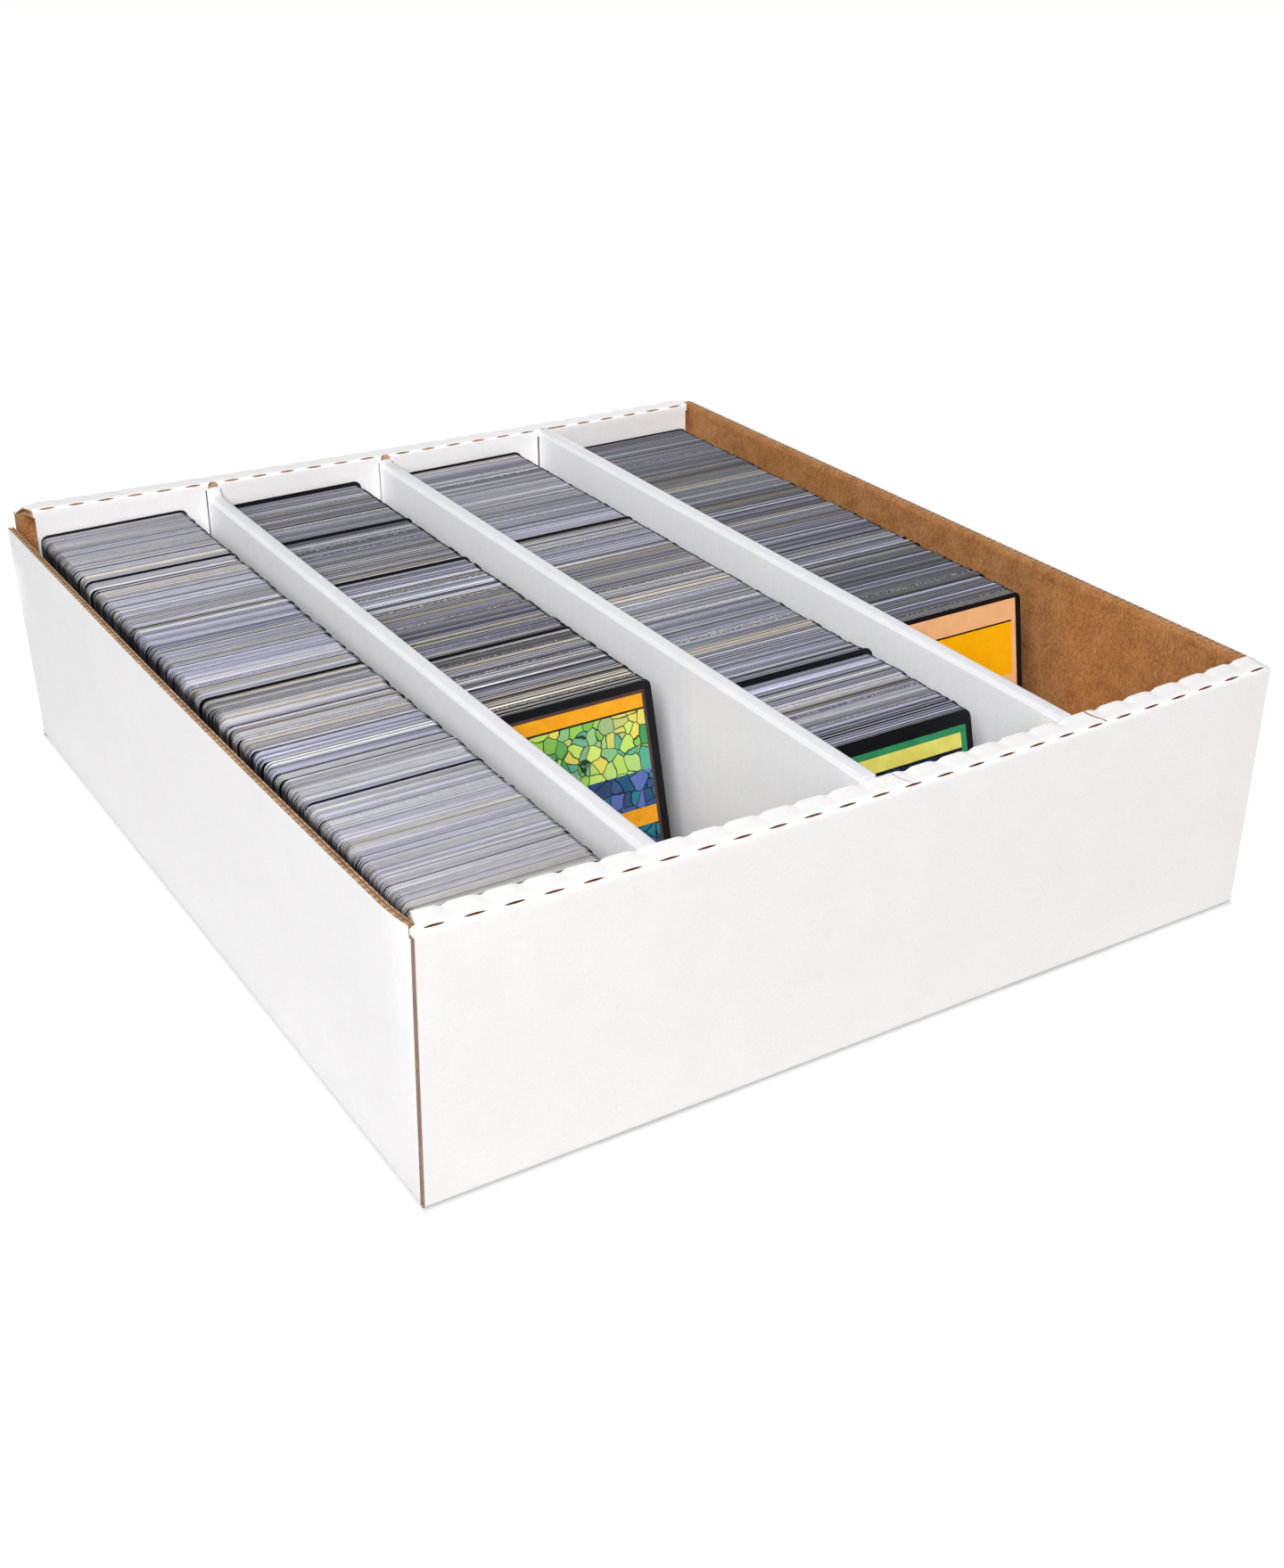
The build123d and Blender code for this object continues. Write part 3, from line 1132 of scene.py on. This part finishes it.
def plain_card():
    """The card that fills the rows: black-bordered faces, a paper edge and a top rim worn to the paper."""
    bm = card_blank()
    rim = card_height - worn_rim
    sliced(bm, "Y", [rim])
    extruded(bm, (0, 0, -card_thickness))
    for face in bm.faces:
        printed = abs(face.normal.z) > facing and face.calc_center_median().y < rim
        face.material_index = BLACK if printed else EDGE
    return as_mesh(bm, "plain_card")


plain_shape = plain_card()
print("plain card faces:", len(plain_shape.polygons))

# %% Printed cards
side_border = 2.6
bar_line = 0.7
second_bar = (36.0, 42.5)
picture_split = 56.0


def printed_card(top_border, frame_width, bar_height):
    """A card with a printed front: black border, thin frame, two bars with a dark line and two pictures."""
    half = card_width / 2
    frame_inset = side_border + frame_width
    frame_high = card_height - top_border
    bar_high = frame_high - frame_width
    bar_low = bar_high - bar_height
    line_low = bar_low - bar_line
    bm = card_blank()
    heights = (side_border, frame_inset, *second_bar, picture_split, line_low, bar_low, bar_high, frame_high)
    sliced(bm, "Y", heights)
    sliced(bm, "X", [side * (half - inset) for inset in (side_border, frame_inset) for side in (-1, 1)])
    extruded(bm, (0, 0, -card_thickness))
    for face in bm.faces:
        spot = face.calc_center_median()
        inset = half - abs(spot.x)
        in_border = inset > side_border and side_border < spot.y < frame_high
        in_frame = inset > frame_inset and frame_inset < spot.y < bar_high
        if abs(face.normal.z) < facing:
            face.material_index = EDGE
        elif not in_border:
            face.material_index = BLACK
        elif face.normal.z < 0:
            face.material_index = BACK
        elif not in_frame:
            face.material_index = FRAME
        elif spot.y > bar_low or second_bar[0] < spot.y < second_bar[1]:
            face.material_index = BAR
        elif spot.y > line_low:
            face.material_index = BLACK
        else:
            face.material_index = PICTURE if spot.y > picture_split else LOWER
    return as_mesh(bm, "printed_card")


# Border above the frame, width of the frame and height of the top bar, by row
print_layouts = {2: (3.2, 1.2, 5.0), 3: (5.2, 2.4, 5.4), 4: (2.0, 2.2, 6.2)}
printed_shapes = {row: printed_card(*layout) for row, layout in print_layouts.items()}
print("printed card faces:", len(printed_shapes[2].polygons))

# %% [markdown]
# ## The rows of cards
#
# A row could be a block with a stripe texture, but a real row is hundreds of loose cards that stand a
# hair higher, lower or further left than their neighbours, in small clumps that were put in together.
# So each part of a row is built card by card at the CAD part's place and lean. Clumps share a tint and
# a shift, lines of a few cards share a tone, and a card at a break stands proud and shows its border.

# %% Row settings
grey, lavender, tan_paper, cool = "#BAB9BF", "#B4B3C6", "#BCB6AE", "#B0B4BE"

# Papers of each row and their weights
row_papers = {
    1: [(grey, 5), (lavender, 4), (tan_paper, 1.5), (cool, 1)],
    2: [(grey, 4), (lavender, 2), (tan_paper, 1.5), (cool, 3)],
    3: [(grey, 3), (lavender, 5), (tan_paper, 1.2), (cool, 1.5)],
    4: [(grey, 2), (lavender, 4), (tan_paper, 0.6), (cool, 4)],
}

# Brightness of each row, and how much its clumps, lines, cards and ends of cards differ
row_tones = {1: 0.96, 2: 0.6, 3: 0.72, 4: 0.5}
clump_spread = 0.12
line_spreads = {1: 0.14, 2: 0.4, 3: 0.25, 4: 0.3}
card_spreads = {1: 0.1, 2: 0.25, 3: 0.18, 4: 0.2}
end_spread = 0.15
dark_chances = {1: 0.4, 2: 0.8, 3: 0.6, 4: 0.75}
dark_tone = -1.4
worn_chance = 0.03
worn_level = 0.7
brightest = 0.8
# Painted shade on each card's sides below its rounded top corners, and the share of the corner over which it
# fades
painted_side_shade = 0.2
shade_fade_share = 0.8

# Cards in a clump, a line, a dark line and the air between two clumps
clump_sizes = (3, 5, 8, 12, 16)
line_sizes = (1, 2, 3, 4, 5)
dark_sizes = (1, 1, 2)
air_sizes = (1, 1, 2)
air_chances = {1: 0.35, 2: 0.6, 3: 0.4, 4: 0.6}

# Shifts and rises in millimetres, twist in degrees
clump_shift = 0.4
card_shift = 0.15
card_twist = 0.01
rise_spreads = {1: 0.05, 2: 0.02, 3: 0.012, 4: 0.02}
side_room = 0.5

# Contrast of the four parts of a row, and what is special about some parts, by row and part
part_contrast = (1.1, 1.0, 0.95, 0.7)
calm_parts = {(1, 1): 0.45}
proud_first = {
    (1, 2): 0.6, (1, 3): 0.8, (1, 4): 0.9, (2, 2): 0.9, (2, 3): 0.9, (2, 4): 1.1, (3, 2): 2.1, (3, 4): 0.8,
}
proud_last = {(1, 4): 1.0, (2, 4): 1.8, (3, 4): 1.0, (4, 4): 0.6}
fans = {(1, 1): math.radians(2.0)}
fan_count = 16
loose_fronts = {(2, 1): (16, 4), (3, 1): (34, 3), (4, 1): (8, 4)}
print("papers:", grey, lavender, tan_paper, cool)

# %% Standing cards
lift_axes = {joint["child"]: joint["axis"] for joint in frame["joints"] if joint["type"] == "slide"}


def lean_of(body):
    """Lean of a part of a row, from the axis along which it lifts."""
    axis = lift_axes[body]
    return math.atan2(axis[1], axis[2])


def standing(x, y, floor, lean, rise=0.0, twist=0.0, yaw=0.0):
    """Matrix that stands a card on its bottom edge at x, y, leaning back; a negative rise trims it."""
    upright = Vector((0, math.sin(lean), math.cos(lean)))
    ahead = Vector((0, -math.cos(lean), math.sin(lean)))
    axes = Matrix((Vector((1, 0, 0)), upright, ahead)).transposed().to_4x4()
    trim = Matrix.Diagonal((1, 1 + min(rise, 0) / card_height, 1, 1))
    foot = Vector((x, y, floor)) + max(rise, 0) * upright
    turn = Matrix.Rotation(yaw, 4, "Z")
    return Matrix.Translation(foot) @ turn @ axes @ Matrix.Rotation(twist, 4, "Z") @ trim


def stand_card(bm, tint_layer, shape, matrix, tints):
    """Add one card to a row and write a tint on each half of it, with painted shade down its sides."""
    for vert, flat in zip(stamp(bm, shape, matrix), shape.vertices):
        tint = tints[flat.co.x > 0]
        # Painted shade: below its rounded corners a card lies in its neighbours' shadow.
        unshaded = held((flat.co.y - card_height + card_corner) / (shade_fade_share * card_corner))
        shade = painted_side_shade + (1 - painted_side_shade) * unshaded
        vert[tint_layer] = (*(shade * channel for channel in tint[:3]), tint[3])


print("lean of the rows:", [round(math.degrees(lean_of(f"row_{row}_cards_1")), 1) for row in range(1, 5)])

# %% Clumps of cards
def weighted(dice, choices):
    """Pick one of (value, weight) pairs."""
    values, weights = zip(*choices)
    return dice.choices(values, weights)[0]


def tinted(paper, shade, wear):
    """A paper's colour at this shade, with its wear as the fourth number."""
    return (*(min(brightest, channel * shade) for channel in paper[:3]), wear)


def card_clumps(row, part, count, dice):
    """Yield each card's tints, shift and rise, or None where a little air is left between two clumps."""
    contrast = calm_parts.get((row, part), part_contrast[part - 1])
    hue = min(1, contrast)
    clump, line, air, dark = 0, 0, 0, True
    for number in range(count):
        if clump == 0:
            clump = dice.choice(clump_sizes)
            air = dice.choice(air_sizes) if number and dice.random() < air_chances[row] * contrast else 0
            own_paper = ink(weighted(dice, row_papers[row]))
            paper = [hue * own + (1 - hue) * plain for own, plain in zip(own_paper, ink(grey))]
            value = row_tones[row] * math.exp(dice.gauss(0, clump_spread * contrast))
            shift = dice.gauss(0, clump_shift * contrast)
            rise = dice.gauss(0, 2 * rise_spreads[row])
        if line == 0:
            dark = not dark and dice.random() < dark_chances[row]
            line = dice.choice(dark_sizes if dark else line_sizes)
            tone = dice.gauss(dark_tone if dark else 0, line_spreads[row]) * contrast
            wear = worn_level if dice.random() < worn_chance else 0.0
            shades = [value * math.exp(tone + dice.gauss(0, end_spread)) for end in ("left", "right")]
            tints = [tinted(paper, shade, wear) for shade in shades]
            line_rise = dice.gauss(0, rise_spreads[row])
        clump -= 1
        line -= 1
        air -= 1
        worn = math.exp(dice.gauss(0, card_spreads[row] * contrast))
        own_tints = [(*(worn * channel for channel in tint[:3]), tint[3]) for tint in tints]
        if air >= 0 and number < count - 1:
            yield None
        else:
            yield own_tints, shift + dice.gauss(0, card_shift), rise + line_rise


print("clumps of", clump_sizes, "cards")

# %% Card rows
printed_sets = [
    [card_edge, black_print, gold_print, green_mosaic, blue_mosaic, back_print, umber_print],
    [card_edge, black_print, yellow_print, dusk_mosaic, dusk_mosaic, back_print, leaf_print],
    [card_edge, black_print, peach_print, amber_print, peach_print, back_print, peach_print],
]
play = (row_pitch - divider_thickness - card_width) / 2 - side_room
card_total = 0

for row, row_middle in enumerate(row_middles, 1):
    for part in range(1, 5):
        name = f"row_{row}_cards_{part}"
        low, high = node_box(name)
        lean = lean_of(name)
        pitch = card_pitch / math.cos(lean)
        count = int((high.y - low.y - card_height * math.sin(lean)) / pitch)
        dice = random.Random(100 * row + part)
        loose_count, together = loose_fronts.get((row, part), (0, 1))
        bm = bmesh.new()
        tint_layer = bm.verts.layers.float_color.new("tint")
        for number, card in enumerate(card_clumps(row, part, count, dice)):
            if card is None or number < loose_count and number % (together + 2) >= together:
                continue
            tints, shift, rise = card
            if number == 0:
                rise = proud_first.get((row, part), 0)
            if number == count - 1:
                rise = proud_last.get((row, part), 0)
            x = min(max((low.x + high.x) / 2 + shift, row_middle - play), row_middle + play)
            shape = printed_shapes[2] if number in (0, count - 1) else plain_shape
            twist = math.radians(dice.gauss(0, card_twist))
            fan = fans.get((row, part), 0) * max(0, 1 - number / fan_count)
            y = low.y + number * pitch - fan * card_width / 2
            stand_card(bm, tint_layer, shape, standing(x, y, low.z, lean, rise, twist, -fan), tints)
            card_total += 1
        finished(bm, f"cards_{name}", printed_sets[(row + part) % 3], name, name)
print(card_total, "cards stand in sixteen parts")

# %% Front cards
front_card_paper = ink("#C9C7C2")

for row, materials in enumerate(printed_sets, 2):
    name = f"row_{row}_front_card"
    low, high = node_box(name)
    bm = bmesh.new()
    tint_layer = bm.verts.layers.float_color.new("tint")
    matrix = standing((low.x + high.x) / 2, low.y, low.z, lean_of(f"row_{row}_cards_1"))
    stand_card(bm, tint_layer, printed_shapes[row], matrix, [front_card_paper] * 2)
    finished(bm, f"card_{name}", materials, name, name)
print("three front cards")

# %% [markdown]
# ## Floor, light and camera
#
# The box stands on a plain white floor under soft studio light: an even, dim sky, a broad lamp high
# on the left, a weaker one in front, and a low one behind on the right for the sides that face away
# from the camera. The floor is white to the camera and still takes the box's shadow. The camera
# stands where the photograph was taken from, left of the front and a little above.

# %% Floor and sky
# Within this reach of the box's foot the floor's glow and colour are lowered: a painted shadow.
painted_shadow_reach = 5.0
tight_share = 0.4
foot_glow = 0.4
floor_glow = 0.75
floor_size = 2.6
floor_drop = 0.0002
sky_level = 0.06
white_light = (1, 1, 1, 1)


def seen_by(tree, *rays):
    """A socket that is 1 for these kinds of ray and 0 for the light that falls on the box."""
    path = add(tree, "LightPath")
    seen = path.outputs[rays[0]]
    for ray in rays[1:]:
        seen = add(tree, "Math", {0: seen, 1: path.outputs[ray]}, operation="MAXIMUM").outputs[0]
    return seen


def white_floor():
    """Matte white paper sweep: white to the camera, with a shadow painted along the foot of the box in its
    colour and glow.
    """
    material, tree, place, shader = new_material("studio_paper_white")
    seen = seen_by(tree, "Is Camera Ray", "Is Glossy Ray", "Is Transmission Ray")
    foot = add(tree, "VectorMath", {0: place}, operation="ABSOLUTE")
    beyond = add(tree, "VectorMath", {
        0: foot.outputs[0], 1: (half_width * MM, -front * MM, 0),
    }, operation="SUBTRACT")
    sides = add(tree, "SeparateXYZ", {0: beyond.outputs[0]})
    away = add(tree, "Math", {0: sides.outputs["X"], 1: sides.outputs["Y"]}, operation="MAXIMUM")
    # Glow and colour drop towards the foot of the box: a painted shadow.
    level = add(tree, "MapRange", {
        "Value": away.outputs[0], "From Min": -MM, "From Max": painted_shadow_reach * MM,
        "To Min": foot_glow, "To Max": floor_glow,
    })
    glow = add(tree, "Math", {0: seen, 1: level.outputs["Result"]}, operation="MULTIPLY")
    shade = add(tree, "MapRange", {
        "Value": away.outputs[0], "From Min": 0.0, "From Max": tight_share * painted_shadow_reach * MM,
    })
    colour = add(tree, "Mix", {
        0: shade.outputs["Result"], 6: ink("#A0A0A4"), 7: ink("#C8C8C8"),
    }, data_type="RGBA")
    wire(tree, shader, {
        "Base Color": colour.outputs[2], "Roughness": 0.9, "Specular IOR Level": 0.0,
        "Emission Color": white_light, "Emission Strength": glow.outputs[0],
    })
    return material


bm = bmesh.new()
bmesh.ops.create_grid(bm, x_segments=1, y_segments=1, size=floor_size / 2)
bmesh.ops.translate(bm, vec=(0, 0, -floor_drop), verts=bm.verts)
mesh = as_mesh(bm, "studio_floor")
mesh.materials.append(white_floor())
floor = bpy.data.objects.new("studio_floor", mesh)
bpy.context.scene.collection.objects.link(floor)

world = bpy.data.worlds.new("studio_sky")
world.use_nodes = True
sky = world.node_tree
sky.nodes.clear()
seen = seen_by(sky, "Is Camera Ray", "Is Transmission Ray")
level = add(sky, "MapRange", {"Value": seen, "To Min": sky_level, "To Max": 1.0})
light = add(sky, "Background", {"Color": white_light, "Strength": level.outputs["Result"]})
add(sky, "OutputWorld", {"Surface": light.outputs["Background"]})
bpy.context.scene.world = world
print("floor and sky")

# %% Lamps
lamp_aim = Vector((0, 0, 0.05))
key_distance = 4.0


def direction(azimuth, elevation):
    """Unit vector from the box towards a place at these angles in degrees, counted from the front."""
    turn, lift = math.radians(azimuth), math.radians(elevation)
    return Vector((math.sin(turn) * math.cos(lift), -math.cos(turn) * math.cos(lift), math.sin(lift)))


def soft_lamp(name, place, size, watts):
    """A broad square lamp that looks at the box."""
    lamp = bpy.data.lights.new(name, "AREA")
    lamp.size = size
    lamp.energy = watts
    holder = bpy.data.objects.new(name, lamp)
    holder.location = place
    holder.rotation_euler = (lamp_aim - Vector(place)).to_track_quat("-Z", "Y").to_euler()
    bpy.context.scene.collection.objects.link(holder)


soft_lamp("key_softbox", direction(-43, 46) * key_distance, 2.8, 190)
soft_lamp("front_softbox", (-1.36, -2.27, 1.41), 1.6, 27)
soft_lamp("back_softbox", (2.2, 3.3, 0.55), 1.0, 45)
print("three softboxes")

# %% Camera
view_azimuth = -31.491
view_elevation = 27.738
view_roll = math.radians(-0.238)
view_target = Vector((-19.32, -71.93, 50.0)) * MM
view_distance = 722.77 * MM
focal_pixels = 2256.41
image_height = 1759
sensor = 36.0

back = direction(view_azimuth, view_elevation)
camera = bpy.data.objects.new("photo_camera", bpy.data.cameras.new("photo_camera"))
camera.data.sensor_width = sensor
camera.data.lens = focal_pixels / image_height * sensor
level_turn = (-back).to_track_quat("-Z", "Y")
camera.matrix_world = (
    Matrix.Translation(view_target + back * view_distance)
    @ level_turn.to_matrix().to_4x4()
    @ Matrix.Rotation(view_roll, 4, "Z")
)
bpy.context.scene.collection.objects.link(camera)
bpy.context.scene.camera = camera
bpy.context.scene.view_settings.view_transform = "Standard"
print(f"lens {camera.data.lens:.2f} mm at {view_distance:.3f} m")
